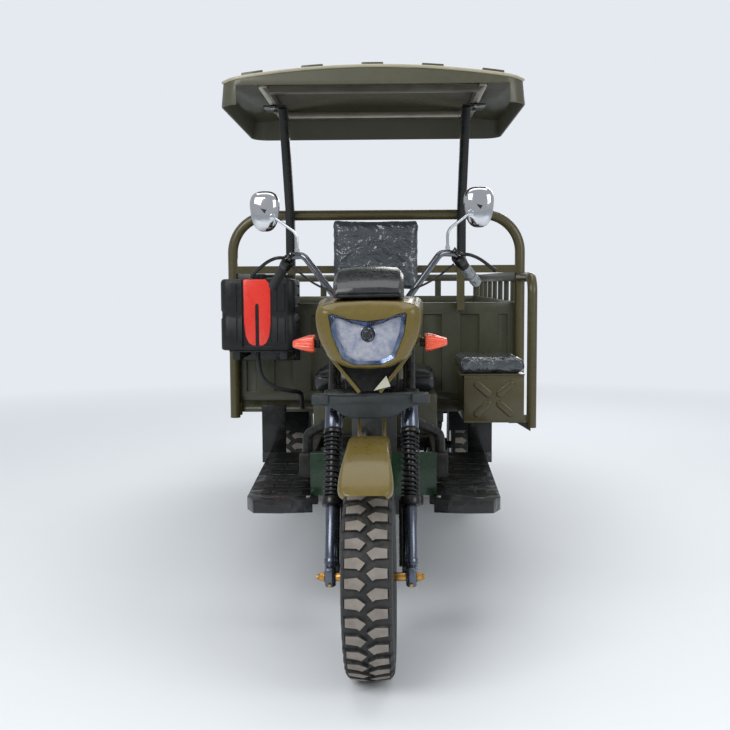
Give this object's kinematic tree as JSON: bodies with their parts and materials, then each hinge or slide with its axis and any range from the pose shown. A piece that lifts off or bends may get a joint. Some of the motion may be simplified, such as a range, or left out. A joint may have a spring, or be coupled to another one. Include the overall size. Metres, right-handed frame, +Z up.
{
  "type": "cargo motor tricycle",
  "caption": "Motor tricycle with a steered front wheel, a saddle and side seat under a canopy, a tool box, a canister and an open cargo bed with slatted walls and a drop tailgate.",
  "frame": {"origin": "on the ground at the middle of the vehicle's length and width", "axes": "+Z up, the vehicle faces -Y, +X is its left side"},
  "size_m": [1.2, 3.5689, 1.85],
  "materials": {
    "frame_paint": "satin black-green paint",
    "guard_paint": "dark green gloss paint",
    "engine_metal": "cast and machined metal",
    "exhaust_metal": "dull steel",
    "spring_steel": "dark spring steel",
    "olive_paint": "olive gloss paint",
    "bed_paint": "grey-olive paint",
    "olive_plastic": "olive moulded plastic",
    "roof_plastic": "olive moulded plastic",
    "black_plastic": "black moulded plastic",
    "grey_plastic": "dark grey moulded plastic",
    "red_plastic": "bright red plastic",
    "lamp_red": "red lamp lens",
    "lamp_orange": "orange-red lamp lens",
    "lamp_clear": "clear lamp glass",
    "black_vinyl": "black vinyl",
    "chrome": "chrome plate",
    "fork_silver": "silver paint and bare metal",
    "black_metal": "black gloss paint",
    "bare_metal": "bare metal",
    "tyre_rubber": "black tyre rubber",
    "grip_rubber": "moulded rubber",
    "rim_paint": "dark painted steel"
  },
  "bodies": {
    "body": {"backrest": "black_vinyl", "bed_floor": "bed_paint", "bed_frame": "bed_paint", "canopy_rails": "bare_metal", "canopy_roof": "roof_plastic", "canopy_struts": "black_metal", "cross_members": "frame_paint", "driver_seat": "black_vinyl", "engine": "engine_metal", "exhaust": "exhaust_metal", "footboards": "black_metal", "frame_rails": "frame_paint", "front_guard": "guard_paint", "front_hoop": "olive_paint", "front_panel": "bed_paint", "fuel_tank": "olive_paint", "guard_rail": "olive_paint", "head_frame": "frame_paint", "leaf_springs": "spring_steel", "rear_axle": "spring_steel", "rear_mudguards": "black_plastic", "seat_base": "bed_paint", "side_panel_left": "bed_paint", "side_panel_right": "bed_paint", "side_seat_box": "olive_paint", "tail_lights": "lamp_red", "tank_shelf": "black_metal", "water_hose": "grip_rubber", "water_tank": "black_plastic", "water_tank_trim": "red_plastic"},
    "steering": {"steering_stem": "black_metal", "fork_legs": "fork_silver", "fork_springs": "spring_steel", "front_fender": "olive_plastic", "headlight_fairing": "olive_plastic", "headlight": "lamp_clear", "instrument_cowl": "black_plastic", "fork_cover": "grey_plastic", "turn_signals": "lamp_orange", "handlebar": "chrome", "grips": "grip_rubber", "control_levers": "black_metal", "control_cables": "black_plastic", "mirrors": "chrome"},
    "front_wheel": {"front_tyre": "tyre_rubber", "front_rim": "rim_paint"},
    "rear_left_wheel": {"rear_tyre_left": "tyre_rubber", "rear_rim_left": "rim_paint"},
    "rear_right_wheel": {"rear_tyre_right": "tyre_rubber", "rear_rim_right": "rim_paint"},
    "rear_gate": {"tailgate": "bed_paint"},
    "side_seat": {"side_seat_lid": "olive_paint", "side_seat_cushion": "black_vinyl"}
  },
  "joints": [
    {"name": "steering_turn", "type": "hinge", "parent": "body", "child": "steering", "pos_m": [0, -1.43941, 0.26457], "axis": [0, 0.454, 0.891], "range_deg": [-38.5, 41.5]},
    {"name": "front_wheel_spin", "type": "hinge", "parent": "steering", "child": "front_wheel", "pos_m": [-0.00164, -1.49948, 0.28499], "axis": [0.9997, -0.0233, 0.0119], "continuous": true},
    {"name": "rear_left_wheel_spin", "type": "hinge", "parent": "body", "child": "rear_left_wheel", "pos_m": [0.43, 0.8005, 0.285], "axis": [1, 0, 0], "continuous": true},
    {"name": "rear_right_wheel_spin", "type": "hinge", "parent": "body", "child": "rear_right_wheel", "pos_m": [-0.43, 0.8005, 0.285], "axis": [1, 0, 0], "continuous": true},
    {"name": "rear_gate_hinge", "type": "hinge", "parent": "body", "child": "rear_gate", "pos_m": [0, 1.7705, 0.628], "axis": [-1, 0, 0], "range_deg": [0, 160]},
    {"name": "side_seat_hinge", "type": "hinge", "parent": "body", "child": "side_seat", "pos_m": [0.438, -0.3075, 0.788], "axis": [-1, 0, 0], "range_deg": [0, 65]}
  ]
}
